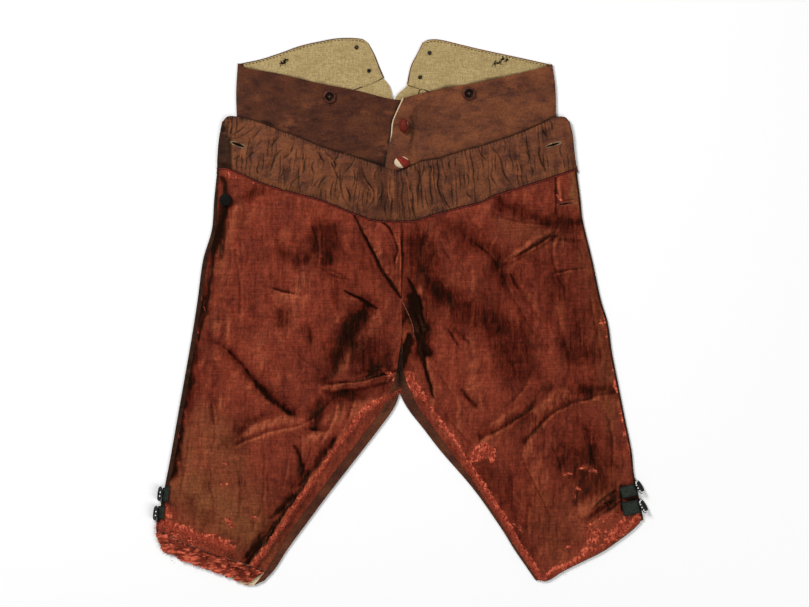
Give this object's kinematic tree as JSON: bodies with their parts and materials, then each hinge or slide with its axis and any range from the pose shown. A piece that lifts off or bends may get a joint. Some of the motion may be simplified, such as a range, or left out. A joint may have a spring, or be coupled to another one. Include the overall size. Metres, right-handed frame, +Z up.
{
  "type": "knee breeches",
  "caption": "Worn silk knee breeches with a puckered fall front, laid flat with the front up, linen-lined waistband folded open at the back, and buckled knee straps.",
  "frame": {"origin": "on the surface that the breeches lie on, under the middle of their box", "axes": "+Y from the knees to the waist, +X to the wearer's left, +Z up off the surface, out of the front of the garment"},
  "size_m": [0.6296, 0.6947, 0.0149],
  "materials": {
    "silk": "shot silk taffeta",
    "worn_silk": "worn silk",
    "brown_cotton": "polished cotton",
    "linen": "coarse linen",
    "cream_cotton": "plain cotton",
    "horn": "polished horn",
    "black": "covered button",
    "ribbon": "ribbon",
    "steel": "cut steel"
  },
  "bodies": {
    "root": {"back_leg_left": "brown_cotton", "back_leg_right": "brown_cotton", "front_leg_left": "silk", "front_leg_right": "silk", "fall_band_left": "brown_cotton", "fall_band_right": "brown_cotton", "fall_bearer_left": "linen", "fall_bearer_right": "linen", "waistband_left": "brown_cotton", "waistband_right": "brown_cotton", "waistband_lining_left": "linen", "waistband_lining_right": "linen", "seat_lining_left": "linen", "seat_lining_right": "linen", "knee_band_right": "worn_silk", "leg_lining_right": "cream_cotton", "brace_button_left": "horn", "brace_button_right": "horn", "waist_button_upper": "worn_silk", "waist_button_lower": "worn_silk", "fall_button_right": "black", "knee_strap_left_upper": "ribbon", "knee_strap_left_lower": "ribbon", "knee_strap_right_upper": "ribbon", "knee_strap_right_lower": "ribbon", "knee_buckle_left_upper": "steel", "knee_buckle_left_lower": "steel", "knee_buckle_right_upper": "steel", "knee_buckle_right_lower": "steel"}
  },
  "joints": []
}
